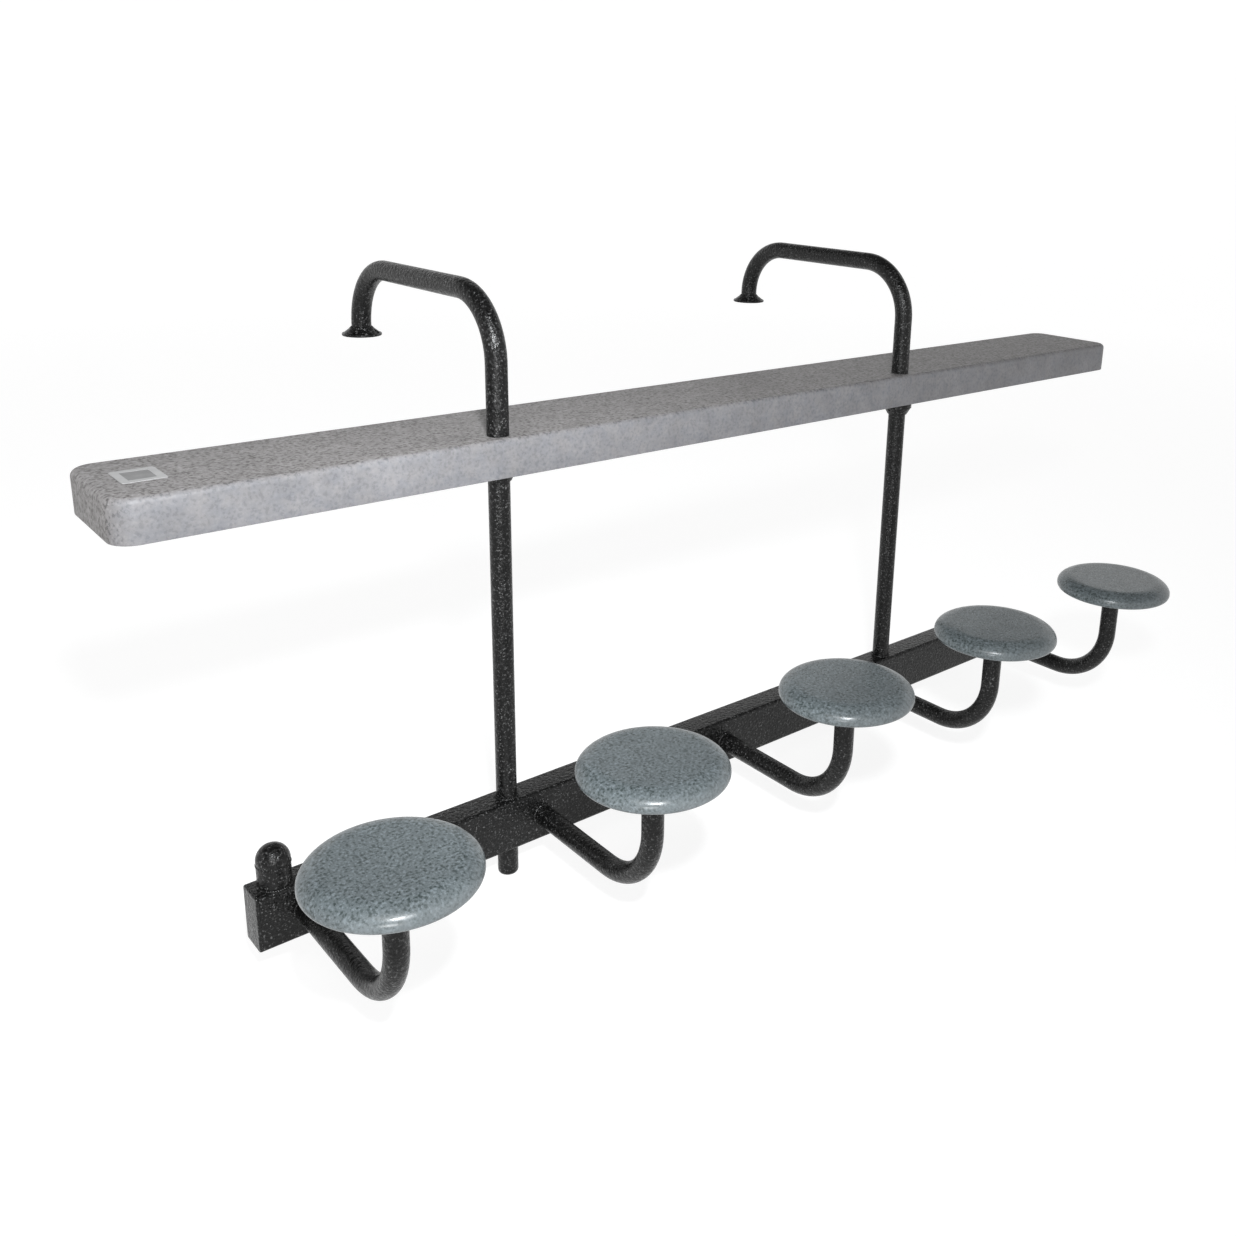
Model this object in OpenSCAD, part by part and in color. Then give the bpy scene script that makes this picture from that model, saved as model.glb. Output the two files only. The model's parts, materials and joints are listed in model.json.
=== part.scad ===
// Swim-up bar set: a long bar top and five stools that hang in a pool from two deck flanges.
// +X runs along the bar, +Y points to the deck, +Z is up.
// The origin is the centre of the left deck flange, on the deck's surface.

/* [Tube] */
// Outside diameter of the post and arm tube
tube_od = 50.8; // [42:0.1:61]
// Wall of the post and arm tube
tube_wall = 3.2; // [2:0.1:5]
// Centreline radius of the bends in the posts
post_bend_r = 155; // [120:1:190]
// Centreline radius of the bend in each arm
arm_bend_r = 168; // [110:1:190]

/* [Posts] */
// Distance between the two posts
post_pitch = 1382; // [1100:1:1700]
// Run of each post from its upright to its deck flange
post_run = 684; // [570:1:830]
// Height of the straight leg between the deck and the bend
leg_h = 28; // [26:1:70]
// Length of post that stands out below the beam
post_tail = 69; // [40:1:120]
// Height of the rounded head of the plug in each post's foot
plug_head_h = 12; // [10:1:20]
// Length of the plug's shank inside the tube
plug_shank = 30; // [15:1:60]

/* [Deck flanges] */
// Outside diameter of a deck flange
flange_d = 102; // [98:1:124]
// Thickness of the flange's rim
flange_rim = 6; // [4:0.5:8]
// Height of the flange, rim and cone together
flange_h = 20; // [16:1:26]
// Circle of the deck bolt holes
bolt_pcd = 82; // [80:1:90]
// Diameter of a deck bolt hole
bolt_hole_d = 9; // [6:0.5:10]
// Diameter of the flat seat around each bolt hole
spotface_d = 15; // [12:1:16]

/* [Beam] */
// Length of beam beyond the centre of the first and last arm
beam_overhang = 105; // [95:1:160]
// Width of the beam, front to back
beam_w = 76; // [70:1:110]
// Height of the beam
beam_h = 134; // [100:1:170]
// Wall of the beam
beam_wall = 5; // [3:0.5:8]
// Outer corner radius of the beam
beam_corner_r = 8; // [6:1:12]
// Drop from the deck to the top of the beam
beam_drop = 1052; // [880:1:1250]
// Thickness of each end plate
end_plate_t = 5; // [3:0.5:8]

/* [End stub] */
// Outside diameter of the capped stub
stub_d = 73; // [50:0.5:74]
// Wall of the stub
stub_wall = 5; // [3:0.5:8]
// Height of the stub's straight pipe
stub_h = 50; // [30:1:90]
// Straight skirt of the domed cap
cap_skirt = 8; // [5:1:20]
// Distance from the beam's left end to the stub's centre
stub_inset = 56; // [45:1:65]

/* [Bar top] */
// Length of the bar top
bar_len = 3290; // [2750:1:3950]
// Depth of the bar top, front to back
bar_depth = 310; // [260:1:372]
// Thickness of the bar top
bar_t = 91; // [75:1:110]
// Drop from the deck to the bar's surface
bar_drop = 134; // [110:1:170]
// Distance from the posts' centres to the bar's front face
bar_front = 46; // [45:1:60]
// Shift of the bar's middle to the right of the posts' middle
bar_shift = 125; // [-150:1:150]
// Corner radius of the bar, seen from above
bar_corner_r = 50; // [30:1:80]
// Radius of the rounded upper edge
bar_edge_r = 14; // [6:1:14]
// Wall of the moulded shell's sides
shell_wall = 6; // [4:0.5:8]
// Thickness of the shell's top skin
roof_t = 8; // [6:0.5:12]
// Thickness of the panel that closes the underside
panel_t = 6; // [4:0.5:10]

/* [Bar fittings] */
// Width of each stiffener rail
rail_w = 40; // [30:1:60]
// Wall of each stiffener rail
rail_wall = 3; // [2:0.5:5]
// Gap between a rail's end and the shell
rail_end_gap = 40; // [10:1:80]
// Wall of the sleeve that lines each post hole
sleeve_wall = 3.2; // [2:0.1:5]
// Rim radius of the right post's collar, which carries the bar
collar_r = 42; // [38:1:44]
// Height of the right post's collar
collar_h = 34; // [24:1:44]
// Rim radius of the left post's low collar
low_collar_r = 34; // [33:1:42]
// Height of the left post's low collar
low_collar_h = 14; // [12:1:22]
// Wall at each collar's small end
collar_neck = 4; // [3:0.5:6]
// Diameter of the set screws in the collars
set_screw_d = 6; // [4:1:8]
// Number of screws along each edge of the underside panel
panel_screws_per_edge = 8; // [4:1:12]
// Shank diameter of a panel screw
panel_screw_d = 5; // [4:0.5:6]
// Length of the blank label plate, along the bar
label_w = 85; // [60:1:120]
// Width of the label plate, across the bar
label_d = 95; // [60:1:150]
// Thickness of the label plate
label_t = 1.2; // [0.8:0.1:3]
// Distance from the bar's left end to the label's middle
label_inset = 95; // [70:1:150]

/* [Stools] */
// Distance between neighbouring stools
stool_pitch = 610; // [508:1:732]
// Diameter of a seat
seat_d = 340; // [283:1:408]
// Thickness of a seat
seat_t = 44; // [42:1:54]
// Distance from the beam's front face to a seat's centre
seat_reach = 445; // [380:1:534]
// Height of the seat's top above the beam's top
seat_rise = 288; // [240:1:346]
// Wall of the seat's moulded shell
seat_wall = 5; // [4:0.5:7]
// Radius of the seat's rounded upper edge
seat_edge_r = 30; // [16:1:32]
// Radius of the seat's rounded lower edge
seat_foot_r = 12; // [6:1:14]
// Width of the lip around the seat's underside
seat_lip = 18; // [14:1:24]
// Thickness of the pan that closes the seat's underside
pan_t = 5; // [3:0.5:7]
// Diameter of the steel plate under the seat
plate_d = 200; // [180:1:230]
// Thickness of the steel plate
plate_t = 6; // [4:0.5:10]
// Height of the ring that holds the arm under the plate
hub_h = 14; // [8:1:20]
// Wall of that ring
hub_wall = 3.5; // [3:0.5:6]
// Circle of the seat bolts
seat_bolt_pcd = 150; // [130:1:170]
// Thread diameter of a seat bolt
seat_bolt_d = 8; // [6:1:10]

/* [Fits] */
// Radial clearance of a welded or glued fit
fit_gap = 0.05; // [0.01:0.01:0.1]
// Radial clearance of a bolt in a plate's hole
bolt_gap = 0.5; // [0.2:0.1:1]

/* [Hidden] */
$fn = 64;
eps = 0.01;

black_coat = "#26272a";
bar_grey = "#8f8d8a";
seat_grey = "#6f797c";
bare_metal = "#a9adb1";
rubber = "#17181a";

tube_r = tube_od / 2;
bore_r = tube_r - tube_wall;

// Five stools, one node each
stool_count = 5;
beam_len = (stool_count - 1) * stool_pitch + 2 * beam_overhang;
post_rise = leg_h + post_bend_r;

// Places along X
mid_x = post_pitch / 2;
bar_left = mid_x + bar_shift - bar_len / 2;
beam_left = mid_x - beam_len / 2;
function post_x(side) = side * post_pitch;
function stool_x(i) = mid_x + (i - (stool_count + 1) / 2) * stool_pitch;

// Places along Y
post_y = -post_run;
beam_front = post_y - beam_w / 2;
bar_face = post_y - bar_front;
bar_mid_y = bar_face + bar_depth / 2;
stool_y = beam_front - seat_reach;

// Places along Z
beam_top = -beam_drop;
beam_bottom = beam_top - beam_h;
arm_z = beam_top - beam_h / 2;
post_foot = beam_bottom - post_tail;
bar_top_z = -bar_drop;
bar_bottom_z = bar_top_z - bar_t;
seat_bottom_z = beam_top + seat_rise - seat_t;
plate_bottom_z = seat_bottom_z - plate_t;

// Holes and fits
tube_hole_r = tube_r + fit_gap;
sleeve_r = tube_hole_r + sleeve_wall;
bar_hole_r = sleeve_r + fit_gap;
hub_r = tube_r + fit_gap + hub_wall;
pan_r = seat_d / 2 - seat_lip;
boss_r = seat_bolt_d / 2 + 8;
insert_r = seat_bolt_d / 2 + 2;
insert_len = 20;
bolt_head_h = seat_bolt_d * 0.65;
screw_head_h = panel_screw_d * 0.5;
screw_edge_inset = 22;
label_corner_r = 4;
collar_rim_share = 0.4;
set_screw_share = 0.6;
screw_length = screw_head_h + panel_t + rail_wall + 5;

// Flat outline with round corners, centred on the origin
module round_rect(size, r) {
    square([size.x - 2 * r, size.y], center = true);
    square([size.x, size.y - 2 * r], center = true);
    for (sx = [-1, 1], sy = [-1, 1])
        translate([sx * (size.x / 2 - r), sy * (size.y / 2 - r)]) circle(r);
}

// Straight tube from the origin along +Z
module tube(length) {
    linear_extrude(length) difference() {
        circle(tube_r);
        circle(bore_r);
    }
}

// Quarter bend that turns from +Z at the origin towards +Y
module quarter_bend(radius) {
    translate([0, radius, 0]) rotate([90, 0, 0]) rotate([0, 90, 0]) rotate([0, 0, 90])
        rotate_extrude(angle = 90) translate([radius, 0]) difference() {
            circle(tube_r);
            circle(bore_r);
        }
}

// ---- Posts ----

module post(side) {
    top_run = post_run - 2 * post_bend_r;
    color(black_coat) translate([post_x(side), post_y, 0]) {
        translate([0, 0, post_foot]) tube(leg_h - post_foot);
        translate([0, 0, leg_h]) quarter_bend(post_bend_r);
        translate([0, post_bend_r, post_rise]) rotate([-90, 0, 0]) tube(top_run);
        translate([0, post_run, leg_h]) rotate([0, 0, 180]) quarter_bend(post_bend_r);
        translate([0, post_run, 0]) tube(leg_h);
    }
}

module post_plug(side) {
    edge_r = plug_head_h - 2;
    color(black_coat) translate([post_x(side), post_y, post_foot]) {
        cylinder(r = bore_r - fit_gap, h = plug_shank);
        rotate_extrude() translate([0, -plug_head_h]) {
            square([tube_r - edge_r, plug_head_h]);
            translate([0, edge_r]) square([tube_r, plug_head_h - edge_r]);
            intersection() {
                translate([tube_r - edge_r, edge_r]) circle(edge_r);
                square([tube_r, edge_r]);
            }
        }
    }
}

module deck_flange(side) {
    r = flange_d / 2;
    color(black_coat) translate([post_x(side), 0, 0]) difference() {
        union() {
            cylinder(r = r, h = flange_rim);
            translate([0, 0, flange_rim]) cylinder(r1 = r - 2, r2 = tube_r + 5, h = flange_h - flange_rim);
        }
        translate([0, 0, -eps]) cylinder(r = tube_hole_r, h = flange_h + 2 * eps);
        for (a = [45:90:315]) rotate(a) translate([bolt_pcd / 2, 0, 0]) {
            translate([0, 0, -eps]) cylinder(d = bolt_hole_d, h = flange_h);
            translate([0, 0, flange_rim]) cylinder(d = spotface_d, h = flange_h);
        }
    }
}

// ---- Bar top ----

module bar_block() {
    translate([bar_left + bar_len / 2, bar_mid_y, bar_bottom_z]) hull() {
        linear_extrude(bar_t - bar_edge_r) round_rect([bar_len, bar_depth], bar_corner_r);
        for (sx = [-1, 1], sy = [-1, 1])
            translate([sx * (bar_len / 2 - bar_corner_r), sy * (bar_depth / 2 - bar_corner_r),
                bar_t - bar_edge_r])
                rotate_extrude($fn = 48) translate([bar_corner_r - bar_edge_r, 0]) circle(bar_edge_r, $fn = 32);
    }
}

module bar_cavity() {
    r = bar_corner_r - shell_wall;
    translate([bar_left + bar_len / 2, bar_mid_y, bar_bottom_z - eps])
        linear_extrude(bar_t - roof_t + eps)
            round_rect([bar_len - 2 * shell_wall, bar_depth - 2 * shell_wall], r);
}

module post_holes(r, z, length) {
    for (side = [0, 1])
        translate([post_x(side), post_y, z]) cylinder(r = r, h = length);
}

module bar_top_shell() {
    color(bar_grey) difference() {
        bar_block();
        bar_cavity();
        post_holes(bar_hole_r, bar_bottom_z, bar_t + 1);
    }
}

module bar_underside_panel() {
    gap = fit_gap;
    r = bar_corner_r - shell_wall - gap;
    color(bar_grey) difference() {
        translate([bar_left + bar_len / 2, bar_mid_y, bar_bottom_z])
            linear_extrude(panel_t)
                round_rect([bar_len - 2 * (shell_wall + gap), bar_depth - 2 * (shell_wall + gap)], r);
        post_holes(bar_hole_r, bar_bottom_z - 1, panel_t + 2);
        at_panel_screws() cylinder(d = panel_screw_d + 2 * bolt_gap, h = screw_head_h + panel_t + 1);
    }
}

// Rails span the hollow between the panel and the top skin
rail_h = bar_t - roof_t - panel_t;
rail_post_gap = 12;
rail_wall_gap = 2;
front_rail_y = post_y + sleeve_r + rail_post_gap;
rear_rail_y = bar_face + bar_depth - shell_wall - rail_wall_gap - rail_w;

module stiffener(y) {
    color(bare_metal) difference() {
        translate([bar_left + shell_wall + rail_end_gap, y, bar_bottom_z + panel_t])
            rotate([90, 0, 90]) linear_extrude(bar_len - 2 * (shell_wall + rail_end_gap)) difference() {
                square([rail_w, rail_h]);
                translate([rail_wall, rail_wall]) square([rail_w - 2 * rail_wall, rail_h - 2 * rail_wall]);
            }
        at_panel_screws() cylinder(d = panel_screw_d + 2 * fit_gap, h = screw_length);
    }
}

// Panel screws run up into the two rails
module at_panel_screws() {
    span = bar_len - 2 * (shell_wall + rail_end_gap + screw_edge_inset);
    for (y = [front_rail_y, rear_rail_y], i = [0:panel_screws_per_edge - 1])
        translate([bar_left + (bar_len - span) / 2 + i * span / (panel_screws_per_edge - 1),
            y + rail_w / 2, bar_bottom_z - screw_head_h]) children();
}

module bar_panel_screws() {
    color(bare_metal) at_panel_screws() {
        cylinder(r = panel_screw_d * 0.9, h = screw_head_h);
        cylinder(d = panel_screw_d, h = screw_length);
    }
}

module label_plate() {
    color("white") translate([bar_left + label_inset, bar_mid_y, bar_top_z])
        linear_extrude(label_t) round_rect([label_w, label_d], label_corner_r);
}

module bar_sleeve(side) {
    color(rubber) translate([post_x(side), post_y, bar_bottom_z]) difference() {
        cylinder(r = sleeve_r, h = bar_t);
        translate([0, 0, -eps]) cylinder(r = tube_hole_r, h = bar_t + 2 * eps);
    }
}

function collar_height(side) = side == 0 ? low_collar_h : collar_h;
function collar_radius(side) = side == 0 ? low_collar_r : collar_r;

module at_set_screws() {
    for (side = [0, 1], a = [0, 180])
        translate([post_x(side), post_y, bar_bottom_z - collar_height(side) * set_screw_share])
            rotate([0, 90, a]) translate([0, 0, tube_r]) children();
}

// A cone that widens to a straight rim under the bar
module bar_collar(side) {
    h = collar_height(side);
    r = collar_radius(side);
    rim = h * collar_rim_share;
    color(black_coat) difference() {
        translate([post_x(side), post_y, bar_bottom_z - h]) difference() {
            union() {
                cylinder(r1 = tube_r + collar_neck, r2 = r - 1, h = h - rim);
                translate([0, 0, h - rim]) cylinder(r = r, h = rim);
            }
            translate([0, 0, -eps]) cylinder(r = tube_hole_r, h = h + 2 * eps);
        }
        at_set_screws() cylinder(d = set_screw_d, h = collar_r);
    }
}

module collar_set_screws() {
    color(bare_metal) at_set_screws() cylinder(d = set_screw_d - 2 * fit_gap, h = collar_neck + 1);
}

// ---- Beam ----

module beam_outline() {
    round_rect([beam_w, beam_h], beam_corner_r);
}

// Turns a flat outline in Y and Z into a bar along +X that starts at x
module along_beam(x, length) {
    translate([x, post_y, beam_top - beam_h / 2]) rotate([90, 0, 90]) linear_extrude(length) children();
}

module beam() {
    inner_r = beam_corner_r - beam_wall;
    tube_len = beam_len - 2 * end_plate_t;
    color(black_coat) difference() {
        along_beam(beam_left + end_plate_t, tube_len) difference() {
            beam_outline();
            round_rect([beam_w - 2 * beam_wall, beam_h - 2 * beam_wall], max(inner_r, 0.5));
        }
        post_holes(tube_hole_r, beam_bottom - 1, beam_h + 2);
    }
}

module beam_end(x) {
    color(black_coat) along_beam(x, end_plate_t) beam_outline();
}

module end_stub_pipe() {
    color(black_coat) translate([beam_left + stub_inset, post_y, beam_top]) difference() {
        cylinder(d = stub_d, h = stub_h);
        translate([0, 0, -eps]) cylinder(d = stub_d - 2 * stub_wall, h = stub_h + 2 * eps);
    }
}

module end_stub_cap() {
    r = stub_d / 2;
    color(black_coat) translate([beam_left + stub_inset, post_y, beam_top + stub_h])
        rotate_extrude() intersection() {
            square([r, r + cap_skirt]);
            difference() {
                union() {
                    square([r, cap_skirt]);
                    translate([0, cap_skirt]) circle(r);
                }
                square([r - stub_wall, cap_skirt]);
                translate([0, cap_skirt]) circle(r - stub_wall);
            }
        }
}

// ---- Stools ----

module arm(i) {
    straight = seat_reach - arm_bend_r;
    upright = plate_bottom_z - arm_z - arm_bend_r;
    color(black_coat) translate([stool_x(i), beam_front, arm_z]) {
        rotate([90, 0, 0]) tube(straight);
        translate([0, -seat_reach, arm_bend_r]) rotate([180, 0, 0]) mirror([0, 1, 0])
            quarter_bend(arm_bend_r);
        translate([0, -seat_reach, arm_bend_r]) tube(upright);
    }
}

module at_stool(i) {
    translate([stool_x(i), stool_y, seat_bottom_z]) children();
}

module at_seat_bolts(i) {
    at_stool(i) for (a = [45:90:315]) rotate(a) translate([seat_bolt_pcd / 2, 0, 0]) children();
}

// Seat outline in section: r is its edge, and the two fillets are true arcs
module seat_section(r, height, top_r, foot_r) {
    square([r - top_r, height]);
    square([r - foot_r, height - top_r]);
    translate([0, foot_r]) square([r, height - top_r - foot_r]);
    translate([r - top_r, height - top_r]) intersection() {
        circle(top_r);
        square(top_r);
    }
    translate([r - foot_r, 0]) intersection() {
        translate([0, foot_r]) circle(foot_r);
        square(foot_r);
    }
}

module seat_shell(i) {
    r = seat_d / 2;
    roof = seat_t - seat_wall;
    color(seat_grey) at_stool(i) {
        rotate_extrude($fn = 96) difference() {
            seat_section(r, seat_t, seat_edge_r, seat_foot_r);
            translate([0, seat_wall])
                seat_section(r - seat_wall, roof - seat_wall, seat_edge_r - seat_wall, seat_foot_r - seat_wall);
            square([pan_r, seat_wall + 1]);
        }
        for (a = [45:90:315]) rotate(a) translate([seat_bolt_pcd / 2, 0, pan_t]) difference() {
            cylinder(r = boss_r, h = roof - pan_t);
            translate([0, 0, -eps]) cylinder(r = insert_r + fit_gap, h = insert_len + eps);
        }
    }
}

module seat_pan(i) {
    color(seat_grey) difference() {
        at_stool(i) cylinder(r = pan_r - fit_gap, h = pan_t);
        at_seat_bolts(i) translate([0, 0, -1]) cylinder(d = seat_bolt_d + 2 * bolt_gap, h = pan_t + 2);
    }
}

module seat_plate(i) {
    color(black_coat) difference() {
        at_stool(i) {
            translate([0, 0, -plate_t]) cylinder(d = plate_d, h = plate_t);
            translate([0, 0, -plate_t - hub_h]) difference() {
                cylinder(r = hub_r, h = hub_h);
                translate([0, 0, -eps]) cylinder(r = tube_hole_r, h = hub_h + eps);
            }
        }
        at_seat_bolts(i) translate([0, 0, -plate_t - 1])
            cylinder(d = seat_bolt_d + 2 * bolt_gap, h = plate_t + 2);
    }
}

module seat_inserts() {
    color("#b08d57") for (i = [1:stool_count]) at_seat_bolts(i) translate([0, 0, pan_t]) difference() {
        cylinder(r = insert_r, h = insert_len);
        translate([0, 0, -eps]) cylinder(r = seat_bolt_d / 2, h = insert_len + 2 * eps);
    }
}

module seat_bolts() {
    shank = plate_t + pan_t + insert_len - 2;
    color(bare_metal) for (i = [1:stool_count]) at_seat_bolts(i) translate([0, 0, -plate_t]) {
        cylinder(d = seat_bolt_d - 2 * fit_gap, h = shank);
        translate([0, 0, -bolt_head_h]) cylinder(d = seat_bolt_d * 1.85, h = bolt_head_h, $fn = 6);
    }
}

bar_top_shell();
bar_underside_panel();
bar_panel_screws();
stiffener(front_rail_y);  // bar_stiffener_front
stiffener(rear_rail_y);  // bar_stiffener_rear
label_plate();
bar_sleeve(0);  // bar_sleeve_left
bar_sleeve(1);  // bar_sleeve_right
bar_collar(0);  // bar_collar_left
bar_collar(1);  // bar_collar_right
collar_set_screws();
post(0);  // post_left
post(1);  // post_right
post_plug(0);  // post_plug_left
post_plug(1);  // post_plug_right
deck_flange(0);  // deck_flange_left
deck_flange(1);  // deck_flange_right
beam();
beam_end(beam_left);  // beam_end_left
beam_end(beam_left + beam_len - end_plate_t);  // beam_end_right
end_stub_pipe();
end_stub_cap();
arm(1);  // arm_1
arm(2);  // arm_2
arm(3);  // arm_3
arm(4);  // arm_4
arm(5);  // arm_5
seat_shell(1);  // seat_shell_1
seat_shell(2);  // seat_shell_2
seat_shell(3);  // seat_shell_3
seat_shell(4);  // seat_shell_4
seat_shell(5);  // seat_shell_5
seat_pan(1);  // seat_pan_1
seat_pan(2);  // seat_pan_2
seat_pan(3);  // seat_pan_3
seat_pan(4);  // seat_pan_4
seat_pan(5);  // seat_pan_5
seat_plate(1);  // seat_plate_1
seat_plate(2);  // seat_plate_2
seat_plate(3);  // seat_plate_3
seat_plate(4);  // seat_plate_4
seat_plate(5);  // seat_plate_5
seat_inserts();
seat_bolts();
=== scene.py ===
"""Looks of the swim-up bar set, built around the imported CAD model. Metres, in the CAD's frame."""

import json
import math

import bmesh
import bpy
from mathutils import Matrix, Vector, noise


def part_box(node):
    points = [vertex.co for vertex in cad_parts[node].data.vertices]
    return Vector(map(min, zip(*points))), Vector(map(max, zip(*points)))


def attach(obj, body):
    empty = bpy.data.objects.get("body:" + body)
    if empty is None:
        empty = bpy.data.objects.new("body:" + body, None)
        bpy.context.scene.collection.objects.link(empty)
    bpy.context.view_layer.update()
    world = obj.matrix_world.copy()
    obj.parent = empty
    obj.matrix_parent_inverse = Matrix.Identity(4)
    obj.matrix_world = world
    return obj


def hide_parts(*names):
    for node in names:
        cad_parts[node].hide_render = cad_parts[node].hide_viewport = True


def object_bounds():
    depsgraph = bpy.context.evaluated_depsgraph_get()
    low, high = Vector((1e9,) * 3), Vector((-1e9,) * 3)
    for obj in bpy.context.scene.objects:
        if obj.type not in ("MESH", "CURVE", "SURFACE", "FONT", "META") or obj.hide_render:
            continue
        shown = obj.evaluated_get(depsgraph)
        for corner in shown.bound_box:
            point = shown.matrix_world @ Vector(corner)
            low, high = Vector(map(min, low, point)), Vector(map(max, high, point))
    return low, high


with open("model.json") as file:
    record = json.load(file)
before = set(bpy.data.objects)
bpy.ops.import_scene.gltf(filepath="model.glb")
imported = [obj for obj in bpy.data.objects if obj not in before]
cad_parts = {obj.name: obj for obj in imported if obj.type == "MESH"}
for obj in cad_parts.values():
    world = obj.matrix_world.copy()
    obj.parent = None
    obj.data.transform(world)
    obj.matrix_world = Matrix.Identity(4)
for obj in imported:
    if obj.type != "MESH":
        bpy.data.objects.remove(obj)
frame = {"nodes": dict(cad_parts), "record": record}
CAD_BOX = [list(corner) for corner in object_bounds()]

# ---- Sizes, the same as in the CAD model ----

STOOLS = range(1, 6)
SIDES = ("left", "right")
TUBE_R = 0.0254
POST_BEND_R = 0.155
ARM_BEND_R = 0.168
LEG_H = 0.028
BEAM_CORNER_R = 0.008
END_EDGE_R = 0.004
BAR_CORNER_R = 0.050
BAR_EDGE_R = 0.014
BAR_WALL = 0.006
BAR_ROOF = 0.008
BAR_HOLE_R = 0.0288
SEAT_EDGE_R = 0.030
SEAT_EDGE_REACH = 0.048
SEAT_FOOT_R = 0.012
SEAT_WALL = 0.005
SEAT_LIP = 0.018
PAN_T = 0.005
LABEL_CORNER_R = 0.006
LABEL_BORDER = 0.016
LABEL_SINK = 0.0004
FLANGE_R = 0.051
FLANGE_RIM = 0.006
FLANGE_H = 0.020
BOLT_CIRCLE_R = 0.041
BOLT_HOLE_R = 0.0045
SPOTFACE_R = 0.0075
STUB_R = 0.0365
STUB_H = 0.050
CAP_SKIRT = 0.008

# ---- Small details and mesh steps ----

EDGE = 0.001  # the bevel on a turned edge
FLANGE_NECK = 0.005  # how far the flange's top stands out from the tube
FLANGE_ROUND = 0.0015
FLANGE_SHOULDER = 0.0035  # flat on the rim before the cone starts
FLANGE_TOP_FLARE = 0.0012  # where the cone ends, outside the top's round
WELD_LEG = 0.0038
SMALL_WELD_LEG = 0.0035
SEAM_LEG = 0.0022
WELD_PITCH = 0.0042  # from one ripple of a bead to the next
RIPPLE_STEPS = 4  # rings of points in one ripple
WELD_SIDES = 10
WELD_BASE, WELD_SWELL, WELD_WOBBLE = 0.90, 0.22, 0.16  # shares of the leg
WELD_END = 0.35  # a straight bead's size at its ends
WELD_TAPER = 12  # how fast it grows from there, over the bead's length
BAR_CORNER_STEPS = 16
BAR_LIP_ROUND = 0.0008
BAR_FOOT_R = 0.002  # round of the bar's lower outer edge
BAR_FOOT_MID = 0.0006  # how far in and up that round's middle point lies
LABEL_ROUND = 0.0003
SEAT_POCKET_R = 0.002
SEAT_POCKET_FLAT = 0.96  # flat share of the pocket's roof
SEAT_LIP_ROUND = 0.0006
LABEL_STEPS = 8  # steps in each round corner of the label
BEAM_STATIONS = 40
BEAM_CORNER_STEPS = 10
END_STEPS = 8  # in an end plate's rounded edge and in its corners
DOME_STEPS = 24
TOOL_REACH = 0.01  # how far a cutting tool runs past what it cuts
ROUND_SMOOTH_DEG = 35.0  # edges sharper than this stay sharp after a cut

# ---- Camera ----

CAMERA_AT = (-1.36564, -3.00381, 0.52926)
CAMERA_HEADING = 41.8036  # degrees from +Y towards +X
CAMERA_PITCH = 15.8826  # degrees below the horizon
CAMERA_ROLL = 1.7516
LENS_MM = 34.9167
SENSOR_MM = 36.0
SHIFT = (-0.09024, -0.11218)


def make_camera():
    """The view that the object is shown in."""
    data = bpy.data.cameras.new("camera")
    data.lens = LENS_MM
    data.sensor_width = SENSOR_MM
    data.shift_x, data.shift_y = SHIFT
    data.clip_end = 100
    camera = bpy.data.objects.new("camera", data)
    turn = (
        Matrix.Rotation(-math.radians(CAMERA_HEADING), 4, "Z")
        @ Matrix.Rotation(math.radians(90 - CAMERA_PITCH), 4, "X")
        @ Matrix.Rotation(math.radians(CAMERA_ROLL), 4, "Z")
    )
    camera.matrix_world = Matrix.Translation(CAMERA_AT) @ turn
    bpy.context.scene.collection.objects.link(camera)
    bpy.context.scene.camera = camera


# ---- Materials ----


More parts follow.
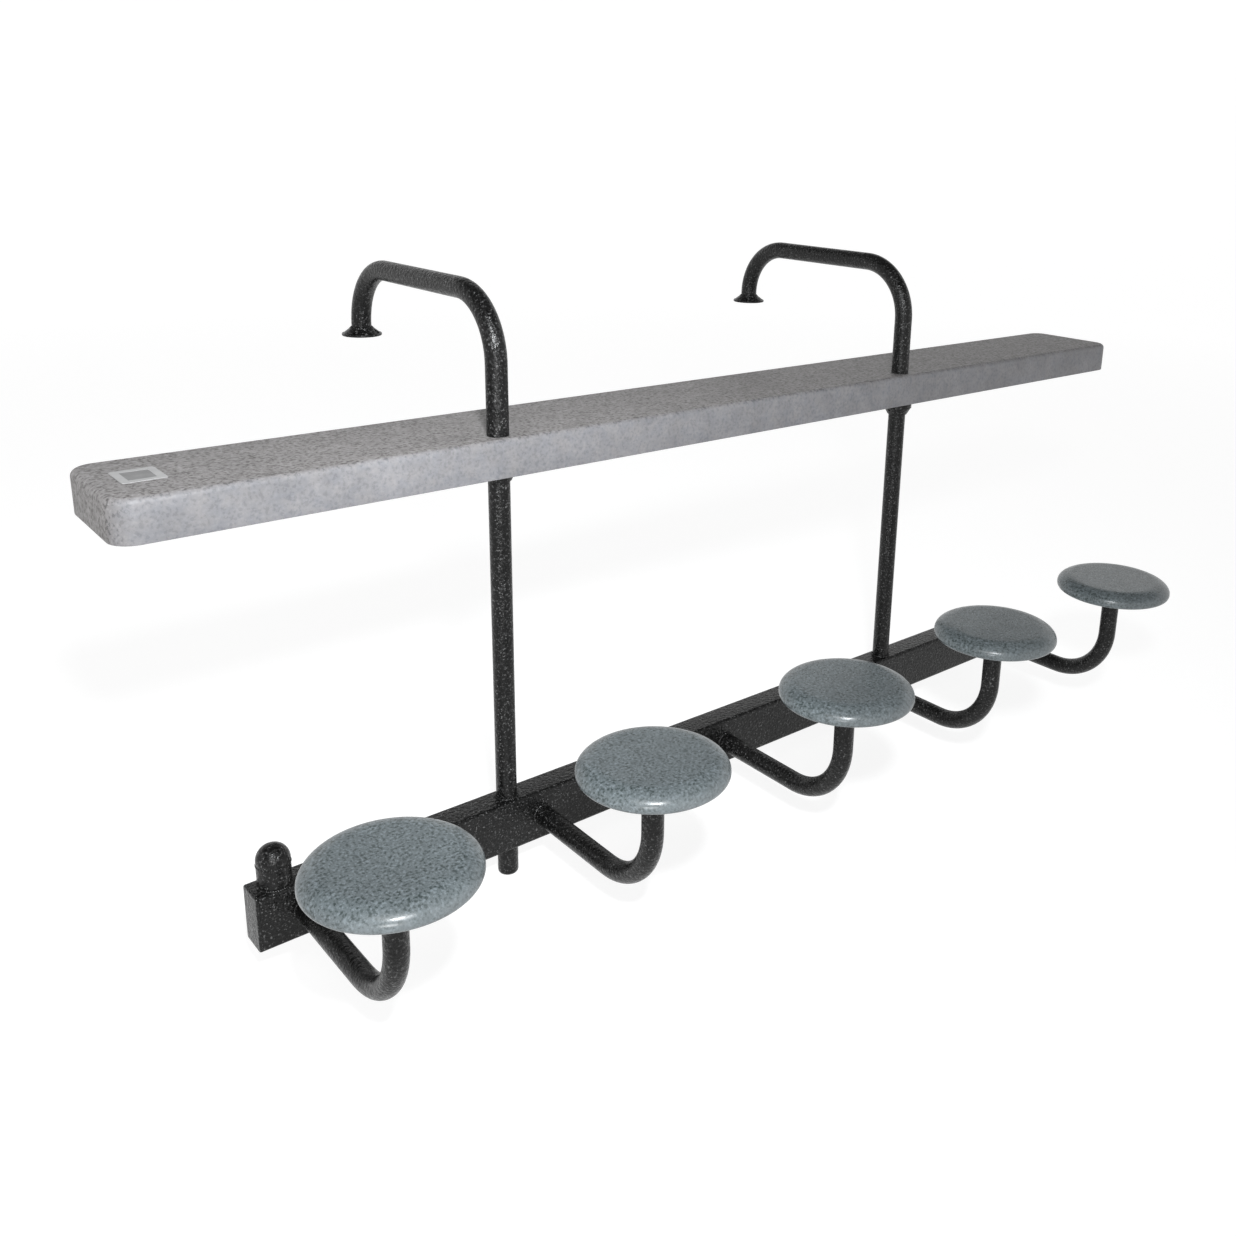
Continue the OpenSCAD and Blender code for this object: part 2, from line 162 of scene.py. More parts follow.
class Nodes:
    """Short calls for one material's node tree."""

    def __init__(self, name):
        self.material = bpy.data.materials.new(name)
        self.material.use_nodes = True
        self.tree = self.material.node_tree
        self.bsdf = self.tree.nodes["Principled BSDF"]
        self.place = self.tree.nodes.new("ShaderNodeTexCoord").outputs["Object"]

    def link(self, out, socket):
        self.tree.links.new(out, socket)

    def noise(self, scale, detail=2.0, rough=0.5):
        node = self.tree.nodes.new("ShaderNodeTexNoise")
        node.inputs["Scale"].default_value = scale
        node.inputs["Detail"].default_value = detail
        node.inputs["Roughness"].default_value = rough
        self.link(self.place, node.inputs["Vector"])
        return node.outputs["Fac"]

    def cells(self, scale):
        """A Voronoi node, whose cells the flecks and grains are made from."""
        node = self.tree.nodes.new("ShaderNodeTexVoronoi")
        node.inputs["Scale"].default_value = scale
        self.link(self.place, node.inputs["Vector"])
        return node

    def ramp(self, value, *stops):
        """stops are (position, colour), and a colour may be one grey level."""
        node = self.tree.nodes.new("ShaderNodeValToRGB")
        ramp = node.color_ramp
        while len(ramp.elements) < len(stops):
            ramp.elements.new(0.5)
        for element, (position, colour) in zip(ramp.elements, stops):
            element.position = position
            level = (colour,) * 3 if isinstance(colour, float) else colour
            element.color = (*level, 1)
        self.link(value, node.inputs["Fac"])
        return node.outputs["Color"]

    def mix(self, a, b, fac, blend="MIX"):
        node = self.tree.nodes.new("ShaderNodeMix")
        node.data_type = "RGBA"
        node.blend_type = blend
        for socket, value in (
            (node.inputs["Factor"], fac),
            (node.inputs[6], a),
            (node.inputs[7], b),
        ):
            if isinstance(value, bpy.types.NodeSocket):
                self.link(value, socket)
            elif isinstance(value, tuple):
                socket.default_value = (*value, 1)
            else:
                socket.default_value = value
        return node.outputs[2]

    def math(self, operation, a, b):
        node = self.tree.nodes.new("ShaderNodeMath")
        node.operation = operation
        for socket, value in zip(node.inputs, (a, b)):
            if isinstance(value, bpy.types.NodeSocket):
                self.link(value, socket)
            else:
                socket.default_value = value
        return node.outputs[0]

    def bump(self, height, distance, strength=1.0, under=None):
        node = self.tree.nodes.new("ShaderNodeBump")
        node.inputs["Distance"].default_value = distance
        node.inputs["Strength"].default_value = strength
        self.link(height, node.inputs["Height"])
        if under is not None:
            self.link(under, node.inputs["Normal"])
        return node.outputs["Normal"]

    def fleck_mask(self, scale, share, size):
        """1 inside round flecks. share of the cells have one, and size is its reach in a cell."""
        node = self.cells(scale)
        level = self.tree.nodes.new("ShaderNodeSeparateColor")
        self.link(node.outputs["Color"], level.inputs["Color"])
        chosen = self.math("LESS_THAN", level.outputs["Red"], share)
        inside = self.math("LESS_THAN", node.outputs["Distance"], size)
        return self.math("MULTIPLY", chosen, inside)

    def painted_front_light_mask(self):
        """1 where a surface faces the stools' side, -Y, and 0 or less if it faces up or away. It
        places the painted front light and shade.
        """
        geometry = self.tree.nodes.new("ShaderNodeNewGeometry")
        parts = self.tree.nodes.new("ShaderNodeSeparateXYZ")
        self.link(geometry.outputs["Normal"], parts.inputs["Vector"])
        return self.math("MULTIPLY", parts.outputs["Y"], -1.0)

    def finish(self, colour, rough, normal, **constants):
        for out, name in ((colour, "Base Color"), (rough, "Roughness"), (normal, "Normal")):
            self.link(out, self.bsdf.inputs[name])
        for name, value in constants.items():
            self.bsdf.inputs[name.replace("_", " ")].default_value = value
        return self.material


def granite(name, dark, middle, light, side, fleck_scale, painted_front_speckle, gloss):
    """Moulded stone-look plastic, speckled. Its front carries painted light and shade: faces
    towards -Y take the side tone, softly mottled and with less speckle.
    """
    n = Nodes(name)
    fine = n.noise(fleck_scale, detail=2.0, rough=0.6)
    speckle = n.ramp(fine, (0.36, dark), (0.46, middle), (0.55, middle), (0.66, light))
    spots = n.fleck_mask(fleck_scale * 0.8, share=0.25, size=0.40)
    speckle = n.mix(speckle, dark, n.math("MULTIPLY", spots, 0.7))
    chips = n.fleck_mask(fleck_scale * 1.3, share=0.12, size=0.40)
    speckle = n.mix(speckle, light, n.math("MULTIPLY", chips, 0.7))
    mottle = n.ramp(n.noise(26.0, detail=3.0, rough=0.6), (0.35, 0.5), (0.65, 1.0))
    # Painted light and shade: faces towards -Y get the side tone and keep less speckle, standing in
    # for how the light falls on the front.
    painted_front_tone = n.mix(middle, side, mottle)
    speckle_vs_painted_front = n.ramp(n.painted_front_light_mask(), (0.10, 1.0), (0.95, painted_front_speckle))
    tone = n.mix(painted_front_tone, speckle, speckle_vs_painted_front)
    blotch = n.ramp(n.noise(16.0, detail=2.0, rough=0.55), (0.32, 0.92), (0.68, 1.07))
    cloud = n.ramp(n.noise(3.5, detail=3.0, rough=0.6), (0.3, 0.94), (0.7, 1.05))
    tone = n.mix(n.mix(tone, blotch, 1.0, "MULTIPLY"), cloud, 1.0, "MULTIPLY")
    rough = n.ramp(n.noise(60.0, detail=3.0), (0.3, gloss - 0.05), (0.7, gloss + 0.07))
    pebble = n.bump(n.noise(420.0), distance=0.0003, strength=0.4)
    wave = n.bump(n.noise(9.0, detail=1.0), distance=0.004, strength=0.20, under=pebble)
    return n.finish(tone, rough, wave, Specular_IOR_Level=0.34)


def powder_coat():
    """Black textured powder coat: a glossy pebbled skin that glitters where it faces a light."""
    n = Nodes("black_powder_coat")
    grain = n.noise(190.0, detail=2.0, rough=0.7)
    fleck = n.ramp(grain, (0.50, 0.002), (0.60, 0.008), (0.70, 0.085))
    dust = n.ramp(n.noise(7.0, detail=4.0), (0.35, 0.75), (0.7, 1.25))
    tone = n.mix(fleck, dust, 1.0, "MULTIPLY")
    rough = n.ramp(n.noise(120.0), (0.35, 0.22), (0.65, 0.38))
    coarse = n.bump(n.noise(115.0, detail=1.5), distance=0.0022)
    pebbles = n.cells(330.0).outputs["Distance"]
    fine = n.bump(pebbles, distance=0.0008, strength=0.5, under=coarse)
    return n.finish(tone, rough, fine, Specular_IOR_Level=0.22)


def metal(name, colour, rough, grain_scale):
    """Bare metal with a faint grain."""
    n = Nodes(name)
    shade = n.ramp(n.noise(30.0, detail=3.0), (0.3, 0.88), (0.7, 1.0))
    tone = n.mix(colour, shade, 1.0, "MULTIPLY")
    streaks = n.ramp(n.noise(grain_scale), (0.3, rough - 0.08), (0.7, rough + 0.1))
    grain = n.bump(n.noise(grain_scale), distance=0.0002, strength=0.4)
    return n.finish(tone, streaks, grain, Metallic=1.0)


def plain(name, colour, rough, bump_scale):
    """Plain plastic with a slightly uneven tone and gloss."""
    n = Nodes(name)
    shade = n.ramp(n.noise(18.0, detail=4.0), (0.3, 0.86), (0.7, 1.0))
    tone = n.mix(colour, shade, 1.0, "MULTIPLY")
    gloss = n.ramp(n.noise(40.0, detail=3.0), (0.3, rough - 0.07), (0.7, rough + 0.07))
    grain = n.bump(n.noise(bump_scale), distance=0.0003, strength=0.5)
    return n.finish(tone, gloss, grain)


def make_materials():
    """One material for each slot in the record, and one more for the label's sunk field."""
    return {
        "bar_granite": granite(
            "bar_granite",
            dark=(0.058, 0.054, 0.052),
            middle=(0.165, 0.158, 0.156),
            light=(0.225, 0.218, 0.218),
            # side: painted shade with a cool cast on the bar's front faces.
            side=(0.112, 0.116, 0.128),
            fleck_scale=125.0,
            painted_front_speckle=0.22,
            gloss=0.50,
        ),
        "seat_granite": granite(
            "seat_granite",
            dark=(0.026, 0.035, 0.035),
            middle=(0.081, 0.096, 0.101),
            light=(0.130, 0.152, 0.164),
            # side: a painted highlight, a lighter tone on the front of each seat's rim.
            side=(0.115, 0.126, 0.131),
            fleck_scale=165.0,
            painted_front_speckle=0.45,
            gloss=0.27,
        ),
        "black_powder_coat": powder_coat(),
        "rail_aluminium": metal("rail_aluminium", (0.66, 0.67, 0.68), 0.36, 260.0),
        "stainless": metal("stainless", (0.60, 0.60, 0.60), 0.30, 500.0),
        "insert_brass": metal("insert_brass", (0.69, 0.52, 0.26), 0.34, 400.0),
        "label_white": plain("label_white", (0.29, 0.29, 0.29), 0.42, 120.0),
        "label_field": plain("label_field", (0.15, 0.15, 0.15), 0.48, 120.0),
        "sleeve_plastic": plain("sleeve_plastic", (0.12, 0.118, 0.115), 0.55, 300.0),
    }


# ---- Mesh helpers ----


def make_object(name, verts, faces, slot, sharp_deg=40.0):
    """A smooth-shaded piece on the one body, with edges sharper than sharp_deg left sharp."""
    mesh = bpy.data.meshes.new(name)
    mesh.from_pydata([tuple(v) for v in verts], [], faces)
    bm = bmesh.new()
    bm.from_mesh(mesh)
    bmesh.ops.recalc_face_normals(bm, faces=bm.faces)
    bm.to_mesh(mesh)
    bm.free()
    mesh.polygons.foreach_set("use_smooth", [True] * len(mesh.polygons))
    mesh.set_sharp_from_angle(angle=math.radians(sharp_deg))
    mesh.materials.append(MATERIALS[slot])
    obj = bpy.data.objects.new(name, mesh)
    bpy.context.scene.collection.objects.link(obj)
    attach(obj, "root")
    return obj


def ring_faces(rings, count, closed_loop=False):
    """Quads between neighbouring rings of count points. A closed loop also joins last to first."""
    faces = []
    for r in range(rings if closed_loop else rings - 1):
        a, b = r * count, (r + 1) % rings * count
        for i in range(count):
            j = (i + 1) % count
            faces.append((a + i, a + j, b + j, b + i))
    return faces


def end_faces(rings, count):
    """The two faces that close the first and the last of the rings."""
    return [tuple(range(count)), tuple(range((rings - 1) * count, rings * count))]


def lathe(name, centre, profile, slot, segments=96, sharp_deg=40.0):
    """A turned piece. profile is a list of (radius, z) that starts and ends on the axis."""
    verts = [Vector(centre) + Vector((0, 0, profile[0][1]))]
    for radius, z in profile[1:-1]:
        for i in range(segments):
            a = 2 * math.pi * i / segments
            verts.append(Vector(centre) + Vector((radius * math.cos(a), radius * math.sin(a), z)))
    verts.append(Vector(centre) + Vector((0, 0, profile[-1][1])))
    rings = len(profile) - 2
    faces = [tuple(k + 1 for k in f) for f in ring_faces(rings, segments)]
    last, base = len(verts) - 1, 1 + (rings - 1) * segments
    for i in range(segments):
        j = (i + 1) % segments
        faces.append((0, 1 + j, 1 + i))
        faces.append((last, base + i, base + j))
    return make_object(name, verts, faces, slot, sharp_deg)


def arc(cx, cz, radius, start_deg, end_deg, steps):
    """Points (x, z) on an arc."""
    turns = [math.radians(start_deg + (end_deg - start_deg) * k / steps) for k in range(steps + 1)]
    return [(cx + radius * math.cos(t), cz + radius * math.sin(t)) for t in turns]


def sweep_tube(name, x, path, radius, slot, segments=64):
    """A round tube along a path of (y, z) points in the plane at x, closed at both ends."""
    verts = []
    for k, (y, z) in enumerate(path):
        before, after = path[max(k - 1, 0)], path[min(k + 1, len(path) - 1)]
        along = Vector((0, after[0] - before[0], after[1] - before[1])).normalized()
        side, up = Vector((1, 0, 0)), Vector((1, 0, 0)).cross(along)
        for i in range(segments):
            a = 2 * math.pi * i / segments
            verts.append(
                Vector((x, y, z)) + side * (radius * math.cos(a)) + up * (radius * math.sin(a))
            )
    faces = ring_faces(len(path), segments) + end_faces(len(path), segments)
    return make_object(name, verts, faces, slot)


def straight(a, b, step=0.02):
    """Points from a to b, a included and b left out."""
    count = max(1, round(math.dist(a, b) / step))
    run, rise = b[0] - a[0], b[1] - a[1]
    return [(a[0] + run * k / count, a[1] + rise * k / count) for k in range(count)]


def bead_ring(core, a, b, leg, step, wobble):
    """A bead's round section. Each ripple swells and tails off, and wobble makes it uneven."""
    phase = (step % RIPPLE_STEPS) / RIPPLE_STEPS
    size = leg * (WELD_BASE + WELD_SWELL * (1 - phase) ** 2 + WELD_WOBBLE * wobble)
    turns = [2 * math.pi * i / WELD_SIDES for i in range(WELD_SIDES)]
    return [core + a * (size * math.cos(t)) + b * (size * math.sin(t)) for t in turns]


def weld_ring(name, centre, normal, radius, leg=WELD_LEG, seed=0.0):
    """A rippled weld bead round a tube that meets a flat face. Its normal points off the face."""
    n = Vector(normal).normalized()
    u = n.orthogonal().normalized()
    v = n.cross(u)
    count = round(2 * math.pi * radius / WELD_PITCH) * RIPPLE_STEPS
    verts = []
    for k in range(count):
        a = 2 * math.pi * k / count
        out = u * math.cos(a) + v * math.sin(a)
        wobble = noise.noise(Vector((math.cos(a) * 3, math.sin(a) * 3, seed)))
        verts += bead_ring(Vector(centre) + out * radius, out, n, leg, k, wobble)
    faces = ring_faces(count, WELD_SIDES, closed_loop=True)
    return make_object(name, verts, faces, "black_powder_coat", 80.0)


def weld_line(name, a, b, up, side, seed=0.0):
    """A rippled weld bead along a straight seam from a to b, thinner at its ends."""
    a, b, up, side = Vector(a), Vector(b), Vector(up), Vector(side)
    count = round((b - a).length / WELD_PITCH) * RIPPLE_STEPS
    verts = []
    for k in range(count + 1):
        taper = min(1.0, WELD_END + WELD_TAPER * min(k, count - k) / count)
        wobble = noise.noise(Vector((k * 0.11, seed, 0.7)))
        verts += bead_ring(a.lerp(b, k / count), side, up, SEAM_LEG * taper, k, wobble)
    faces = ring_faces(count + 1, WELD_SIDES) + end_faces(count + 1, WELD_SIDES)
    return make_object(name, verts, faces, "black_powder_coat", 80.0)


def rounded_outline(size_x, size_y, radius, steps):
    """Counter-clockwise outline of a rectangle with round corners, centred on the origin."""
    points = []
    for quarter, (sx, sy) in enumerate(((1, 1), (-1, 1), (-1, -1), (1, -1))):
        cx, cy = sx * (size_x / 2 - radius), sy * (size_y / 2 - radius)
        points += arc(cx, cy, radius, quarter * 90, quarter * 90 + 90, steps)
    return points


def cut(obj, cutter):
    """Takes the cutter's solid out of obj and deletes the cutter."""
    modifier = obj.modifiers.new("cut", "BOOLEAN")
    modifier.operation = "DIFFERENCE"
    modifier.solver = "EXACT"
    modifier.object = cutter
    graph = bpy.context.evaluated_depsgraph_get()
    mesh = bpy.data.meshes.new_from_object(obj.evaluated_get(graph))
    obj.modifiers.clear()
    obj.data = mesh
    bpy.data.objects.remove(cutter)


# ---- Pieces ----


def box_middle(node):
    low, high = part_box(node)
    return (low + high) / 2


def make_posts():
    """The two gooseneck tubes, with their welds to the beam and the flanges."""
    beam_low, beam_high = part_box("beam")
    for k, side in enumerate(SIDES):
        low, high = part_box(f"post_{side}")
        x, rise = (low.x + high.x) / 2, LEG_H + POST_BEND_R
        front, rear = low.y + TUBE_R, high.y - TUBE_R
        path = straight((front, low.z), (front, LEG_H))
        path += arc(front + POST_BEND_R, LEG_H, POST_BEND_R, 180, 90, 32)[:-1]
        path += straight((front + POST_BEND_R, rise), (rear - POST_BEND_R, rise))
        path += arc(rear - POST_BEND_R, LEG_H, POST_BEND_R, 90, 0, 32)
        path += [(rear, LEG_H / 2), (rear, 0)]
        post = sweep_tube(f"post_tube_{side}", x, path, TUBE_R, "black_powder_coat")
        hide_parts(f"post_{side}")
        top, foot, neck = (x, front, beam_high.z), (x, front, beam_low.z), (x, rear, FLANGE_H)
        weld_ring(f"weld_post_top_{side}", top, (0, 0, 1), TUBE_R, seed=k + 0.3)
        weld_ring(f"weld_post_foot_{side}", foot, (0, 0, -1), TUBE_R, seed=k + 5.3)
        weld_ring(f"weld_flange_{side}", neck, (0, 0, 1), TUBE_R, SMALL_WELD_LEG, seed=k + 9.3)


def make_arms():
    """The five bent stool arms, with their welds to the beam and the seat plates."""
    beam_low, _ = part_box("beam")
    for i in STOOLS:
        low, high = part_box(f"arm_{i}")
        x = (low.x + high.x) / 2
        upright, level = low.y + TUBE_R, low.z + TUBE_R
        path = straight((high.y, level), (upright + ARM_BEND_R, level))
        path += arc(upright + ARM_BEND_R, level + ARM_BEND_R, ARM_BEND_R, 270, 180, 36)[:-1]
        path += straight((upright, level + ARM_BEND_R), (upright, high.z))
        path += [(upright, high.z)]
        arm = sweep_tube(f"arm_tube_{i}", x, path, TUBE_R, "black_powder_coat")
        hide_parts(f"arm_{i}")
        plate_low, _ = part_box(f"seat_plate_{i}")
        foot, head = (x, beam_low.y, level), (x, upright, plate_low.z)
        weld_ring(f"weld_arm_{i}", foot, (0, -1, 0), TUBE_R, seed=i + 20.0)
        weld_ring(f"weld_hub_{i}", head, (0, 0, -1), TUBE_R, SMALL_WELD_LEG, seed=i + 40.0)


def make_beam():
    """The box beam, with a bead along each straight edge of its end plates."""
    low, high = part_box("beam")
    centre = (low + high) / 2
    outline = rounded_outline(high.y - low.y, high.z - low.z, BEAM_CORNER_R, BEAM_CORNER_STEPS)
    length = high.x - low.x
    stations = [low.x + length * k / BEAM_STATIONS for k in range(BEAM_STATIONS + 1)]
    verts = [(x, centre.y + y, centre.z + z) for x in stations for y, z in outline]
    count, rings = len(outline), len(stations)
    faces = ring_faces(rings, count) + end_faces(rings, count)
    beam = make_object("beam_tube", verts, faces, "black_powder_coat")
    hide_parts("beam")
    front, rear = low.y + BEAM_CORNER_R, high.y - BEAM_CORNER_R
    foot, top = low.z + BEAM_CORNER_R, high.z - BEAM_CORNER_R
    along = (1, 0, 0)
    for side, x in zip(SIDES, (low.x, high.x)):
        for k, (edge, z, up) in enumerate((("top", high.z, 1), ("foot", low.z, -1))):
            name = f"weld_end_{side}_{edge}"
            weld_line(name, (x, front, z), (x, rear, z), (0, 0, up), along, seed=k + x)
        for k, (edge, y, out) in enumerate((("front", low.y, -1), ("rear", high.y, 1))):
            name = f"weld_end_{side}_{edge}"
            weld_line(name, (x, y, foot), (x, y, top), (0, out, 0), along, seed=k + x + 3)


def make_beam_ends():
    """The welded end plates, with their outer edges rounded."""
    for side, out in (("left", -1), ("right", 1)):
        node = f"beam_end_{side}"
        low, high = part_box(node)
        centre, size = (low + high) / 2, high - low
        face = centre.x + out * size.x / 2
        rings = [(face - out * size.x, 0.0)]
        for k in range(END_STEPS + 1):
            a = math.pi / 2 * k / END_STEPS
            back, inset = END_EDGE_R * (1 - math.sin(a)), END_EDGE_R * (1 - math.cos(a))
            rings.append((face - out * back, inset))
        verts = []
        for x, inset in rings:
            radius = BEAM_CORNER_R - inset
            wide, tall = size.y - 2 * inset, size.z - 2 * inset
            outline = rounded_outline(wide, tall, radius, END_STEPS)
            verts += [(x, centre.y + y, centre.z + z) for y, z in outline]
        count = len(outline)
        faces = ring_faces(len(rings), count) + end_faces(len(rings), count)
        plate = make_object(f"{node}_plate", verts, faces, "black_powder_coat", 50.0)
        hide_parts(node)


def make_stub():
    """The stub's cap: a skirt over the pipe under a dome."""
    pipe_low, pipe_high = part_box("end_stub_pipe")
    _, cap_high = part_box("end_stub_cap")
    x, y = (pipe_low.x + pipe_high.x) / 2, (pipe_low.y + pipe_high.y) / 2
    rim = pipe_low.z + STUB_H
    profile = [(0, rim), (STUB_R - EDGE, rim), (STUB_R, rim + EDGE), (STUB_R, rim + CAP_SKIRT)]
    dome = cap_high.z - rim - CAP_SKIRT
    for k in range(1, DOME_STEPS):
        a = math.pi / 2 * k / DOME_STEPS
        profile.append((STUB_R * math.cos(a), rim + CAP_SKIRT + dome * math.sin(a)))
    profile.append((0, cap_high.z))
    cap = lathe("stub_dome", (x, y, 0), profile, "black_powder_coat")
    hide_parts("end_stub_cap")
    weld_ring("weld_stub", (x, y, pipe_low.z), (0, 0, 1), STUB_R, seed=61.0)
    weld_ring("weld_cap", (x, y, rim), (0, 0, 1), STUB_R - EDGE, SEAM_LEG, seed=63.0)


def make_flanges():
    """The conical deck flanges, each with four spot-faced bolt holes."""
    for side in SIDES:
        low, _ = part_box(f"deck_flange_{side}")
        x, y = low.x + FLANGE_R, low.y + FLANGE_R
        top_r = TUBE_R + FLANGE_NECK
        rim, top = FLANGE_RIM - FLANGE_ROUND, FLANGE_H - FLANGE_ROUND
        profile = [(0, 0), (FLANGE_R - EDGE, 0), (FLANGE_R, EDGE), (FLANGE_R, rim)]
        profile += arc(FLANGE_R - FLANGE_ROUND, rim, FLANGE_ROUND, 0, 90, 5)[1:]
        profile += [(FLANGE_R - FLANGE_SHOULDER, FLANGE_RIM), (top_r + FLANGE_TOP_FLARE, top)]
        profile += arc(top_r, top, FLANGE_ROUND, 30, 90, 4)[1:]
        profile += [(0, FLANGE_H)]
        flange = lathe(f"flange_{side}", (x, y, 0), profile, "black_powder_coat", 128, 50.0)
        above = FLANGE_H + TOOL_REACH
        for k in range(4):
            a = math.radians(45 + 90 * k)
            at = (x + BOLT_CIRCLE_R * math.cos(a), y + BOLT_CIRCLE_R * math.sin(a), 0)
            tool = [(0, -TOOL_REACH), (BOLT_HOLE_R, -TOOL_REACH), (BOLT_HOLE_R, FLANGE_RIM)]
            tool += [(SPOTFACE_R, FLANGE_RIM), (SPOTFACE_R, above), (0, above)]
            cut(flange, lathe(f"tool_{side}_{k}", at, tool, "black_powder_coat", 40))
        flange.data.set_sharp_from_angle(angle=math.radians(ROUND_SMOOTH_DEG))
        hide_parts(f"deck_flange_{side}")


def make_bar():
    """The hollow bar moulding, open below, with the two post holes cut through it."""
    low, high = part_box("bar_top_shell")
    centre, size = (low + high) / 2, high - low
    rings = []

    def ring(inset, z, radius):
        along, deep = size.x - 2 * inset, size.y - 2 * inset
        outline = rounded_outline(along, deep, radius, BAR_CORNER_STEPS)
        rings.append([(centre.x + x, centre.y + y, z) for x, y in outline])

    roof = high.z - BAR_ROOF
    cavity_r = BAR_CORNER_R - BAR_WALL
    ring(BAR_WALL, roof, cavity_r)
    ring(BAR_WALL, low.z + BAR_LIP_ROUND, cavity_r)
    ring(BAR_WALL - BAR_LIP_ROUND, low.z, cavity_r)
    ring(BAR_FOOT_R, low.z, BAR_CORNER_R - BAR_FOOT_R)
    ring(BAR_FOOT_MID, low.z + BAR_FOOT_MID, BAR_CORNER_R - BAR_FOOT_MID)
    ring(0, low.z + BAR_FOOT_R, BAR_CORNER_R)
    for inset, z in arc(BAR_EDGE_R, high.z - BAR_EDGE_R, BAR_EDGE_R, 180, 90, 12):
        ring(inset, z, BAR_CORNER_R - inset)
    count = len(rings[0])
    verts = [p for r in rings for p in r]
    faces = ring_faces(len(rings), count) + end_faces(len(rings), count)
    bar = make_object("bar_moulding", verts, faces, "bar_granite", 35.0)
    for side in SIDES:
        at = box_middle(f"bar_sleeve_{side}")
        below, above = low.z - TOOL_REACH, high.z + TOOL_REACH
        tool = [(0, below), (BAR_HOLE_R, below), (BAR_HOLE_R, above), (0, above)]
        cut(bar, lathe(f"tool_bar_{side}", (at.x, at.y, 0), tool, "bar_granite", 64))
    bar.data.set_sharp_from_angle(angle=math.radians(ROUND_SMOOTH_DEG))
    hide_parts("bar_top_shell")


def make_label():
    """A blank plate: a light raised border round a darker sunk field."""
    low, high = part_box("label_plate")
    centre, size = (low + high) / 2, high - low
    sunk = high.z - LABEL_SINK

    def ring(inset, z):
        radius = max(LABEL_CORNER_R - inset, EDGE)
        across, deep = size.x - 2 * inset, size.y - 2 * inset
        outline = rounded_outline(across, deep, radius, LABEL_STEPS)
        return [(centre.x + x, centre.y + y, z) for x, y in outline]

    border = [ring(0, low.z), ring(0, high.z - LABEL_ROUND), ring(LABEL_ROUND, high.z)]
    border += [ring(LABEL_BORDER - LABEL_ROUND, high.z)]
    border += [ring(LABEL_BORDER, sunk), ring(LABEL_BORDER, low.z)]
    count = len(border[0])
    faces = ring_faces(len(border), count, closed_loop=True)
    verts = [p for r in border for p in r]
    label = make_object("label_border", verts, faces, "label_white", 30.0)
    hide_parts("label_plate")
    field = [ring(LABEL_BORDER, low.z), ring(LABEL_BORDER, sunk)]
    faces = ring_faces(2, count) + end_faces(2, count)
    verts = [p for r in field for p in r]
    plate = make_object("label_field", verts, faces, "label_white", 30.0)
    plate.data.materials[0] = MATERIALS["label_field"]


def make_seats():
    """The five moulded seats: a flat top with a broad elliptical edge, and a pocket below."""
    for i in STOOLS:
        low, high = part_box(f"seat_shell_{i}")
        radius, x, y = (high.x - low.x) / 2, (low.x + high.x) / 2, (low.y + high.y) / 2
        bottom, top = low.z, high.z
        inner = radius - SEAT_LIP
        roof = top - SEAT_WALL
        pocket = radius - SEAT_EDGE_REACH
        profile = [(0, roof), (pocket * SEAT_POCKET_FLAT, roof)]
        profile += [(pocket, roof - SEAT_POCKET_R)]
        profile += [(inner, bottom + PAN_T), (inner, bottom + SEAT_LIP_ROUND)]
        profile += [(inner + SEAT_LIP_ROUND, bottom)]
        profile += arc(radius - SEAT_FOOT_R, bottom + SEAT_FOOT_R, SEAT_FOOT_R, 270, 360, 12)
        for across, z in arc(0, top - SEAT_EDGE_R, SEAT_EDGE_R, 0, 90, 24):
            profile.append((radius - SEAT_EDGE_REACH * (1 - across / SEAT_EDGE_R), z))
        # The flat top has two rings of points inside its edge.
        profile += [(radius * 0.6, top), (radius * 0.3, top), (0, top)]
        seat = lathe(f"seat_{i}", (x, y, 0), profile, "seat_granite", 128, 50.0)
        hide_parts(f"seat_shell_{i}")


def dress_cad_nodes():
    """Gives every CAD node the material of its slot in the record."""
    slots = {part["node"]: part["material_slot"] for part in frame["record"]["subparts"]}
    for node, obj in frame["nodes"].items():
        obj.data.materials.clear()
        obj.data.materials.append(MATERIALS[slots[node]])


# ---- Stage and light ----

FLOOR_GAP = 0.002
BOWL_R = 14.0
BOWL_FILLET = 4.0
BOWL_WALL = 9.0
BOWL_SEGMENTS = 96
FLOOR_RINGS = (0.0, 2.0, 6.0)  # radii of the points on the flat floor
FLOOR_TONE = (0.30, 0.30, 0.30, 1)
FLOOR_GLOW = 0.82
FLOOR_ROUGH = 0.9
SKY_STRENGTH = 0.22
WHITE = (1.0, 1.0, 1.0, 1)


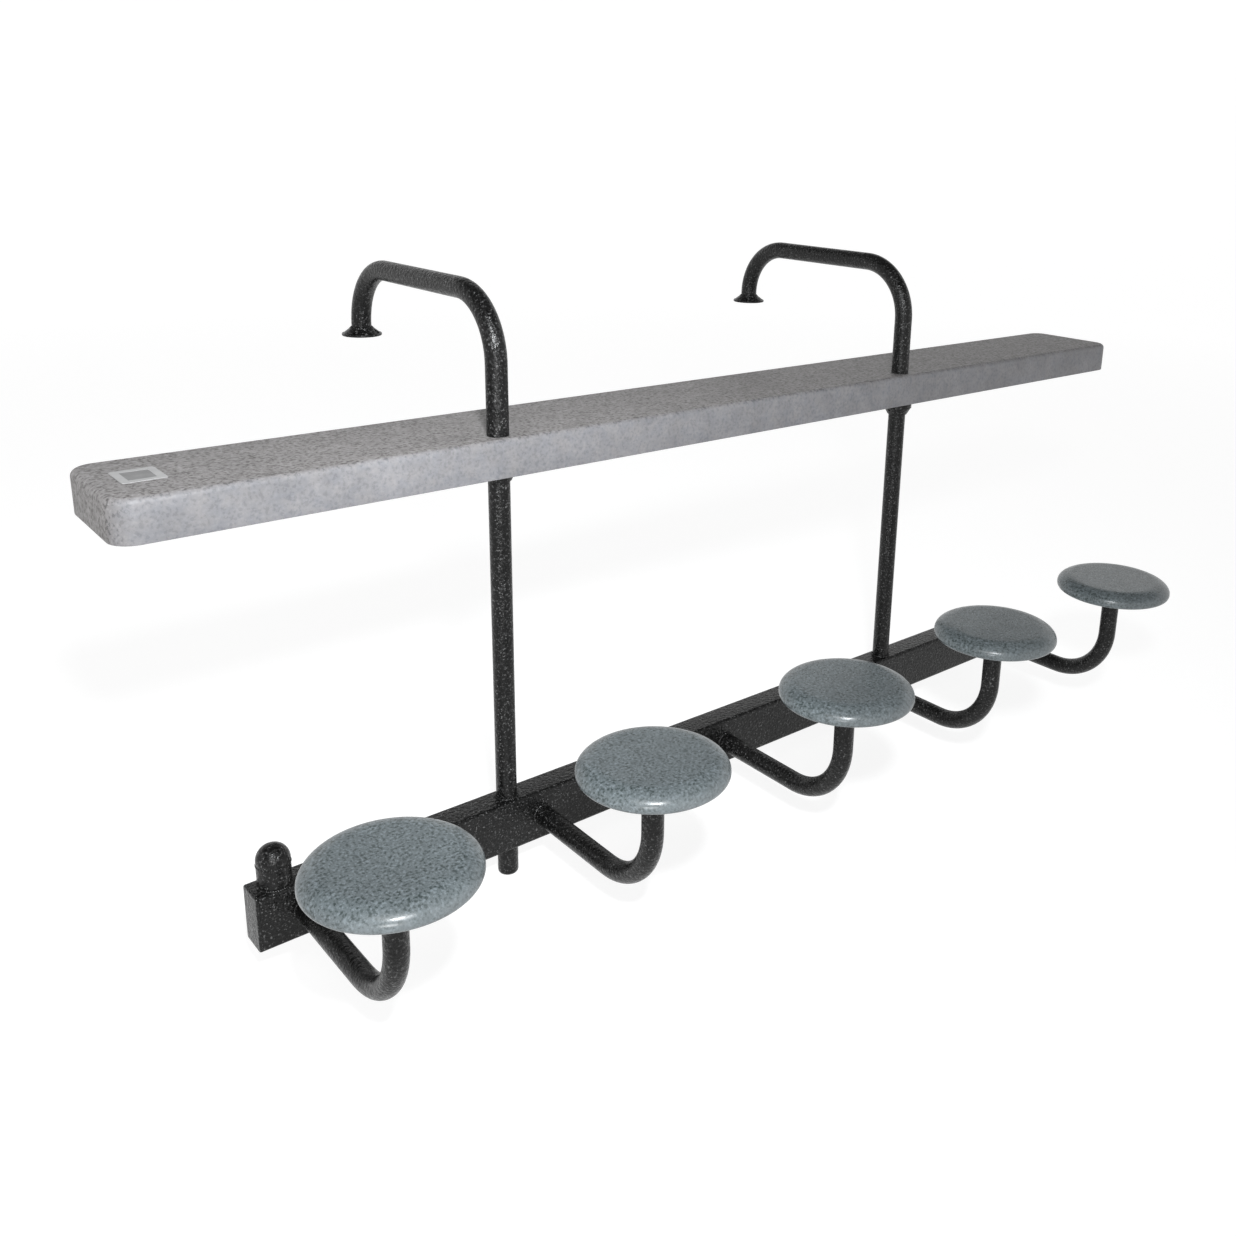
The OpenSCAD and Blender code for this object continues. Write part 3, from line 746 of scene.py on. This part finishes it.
def make_stage():
    """A pale floor that curves up into a wall all round."""
    floor_z = CAD_BOX[0][2] - FLOOR_GAP
    centre = (Vector(CAD_BOX[0]) + Vector(CAD_BOX[1])) / 2
    profile = [(radius, 0.0) for radius in FLOOR_RINGS]
    profile += arc(BOWL_R - BOWL_FILLET, BOWL_FILLET, BOWL_FILLET, 270, 360, 24)
    profile += [(BOWL_R, BOWL_WALL)]
    verts = [(centre.x, centre.y, floor_z)]
    for radius, z in profile[1:]:
        for k in range(BOWL_SEGMENTS):
            a = 2 * math.pi * k / BOWL_SEGMENTS
            x, y = centre.x + radius * math.cos(a), centre.y + radius * math.sin(a)
            verts.append((x, y, floor_z + z))
    faces = [tuple(k + 1 for k in f) for f in ring_faces(len(profile) - 1, BOWL_SEGMENTS)]
    faces += [(0, 1 + (i + 1) % BOWL_SEGMENTS, 1 + i) for i in range(BOWL_SEGMENTS)]
    mesh = bpy.data.meshes.new("floor")
    mesh.from_pydata(verts, [], faces)
    mesh.polygons.foreach_set("use_smooth", [True] * len(mesh.polygons))
    material = bpy.data.materials.new("floor")
    material.use_nodes = True
    shader = material.node_tree.nodes["Principled BSDF"]
    shader.inputs["Base Color"].default_value = FLOOR_TONE
    shader.inputs["Emission Color"].default_value = WHITE
    shader.inputs["Emission Strength"].default_value = FLOOR_GLOW
    shader.inputs["Roughness"].default_value = FLOOR_ROUGH
    shader.inputs["Specular IOR Level"].default_value = 0.0
    mesh.materials.append(material)
    floor = bpy.data.objects.new("floor", mesh)
    bpy.context.scene.collection.objects.link(floor)


def area_light(name, at, aim, size, power, colour=(1.0, 1.0, 1.0), spread=180.0):
    """A round lamp. size in metres, power in watts, and spread in degrees, 180 for no limit."""
    data = bpy.data.lights.new(name, "AREA")
    data.shape = "DISK"
    data.size = size
    data.energy = power
    data.color = colour
    data.spread = math.radians(spread)
    light = bpy.data.objects.new(name, data)
    light.location = at
    turn = (Vector(aim) - Vector(at)).to_track_quat("-Z", "Y")
    light.rotation_euler = turn.to_euler()
    bpy.context.scene.collection.objects.link(light)


def make_light():
    """A key light above the camera that fades to the right, a low fill and a small near lamp."""
    world = bpy.data.worlds.new("studio")
    world.use_nodes = True
    background = world.node_tree.nodes["Background"]
    background.inputs["Color"].default_value = WHITE
    background.inputs["Strength"].default_value = SKY_STRENGTH
    bpy.context.scene.world = world
    bpy.context.scene.view_settings.view_transform = "Standard"
    cool = (0.96, 0.98, 1.0)
    key_at, key_aim = (-1.15, -3.05, 1.35), (-0.1, -0.6, -0.3)
    area_light("key", key_at, key_aim, size=0.35, power=43, colour=cool, spread=85.0)
    area_light("low", (-1.5, -2.9, -0.55), (0.2, -0.9, -0.5), size=0.5, power=22)
    area_light("near", (-1.1, -1.9, 1.0), (0.5, -0.8, -0.6), size=0.9, power=8)


MATERIALS = make_materials()
make_camera()
make_posts()
make_arms()
make_beam()
make_beam_ends()
make_stub()
make_flanges()
make_bar()
make_label()
make_seats()
dress_cad_nodes()
make_stage()
make_light()
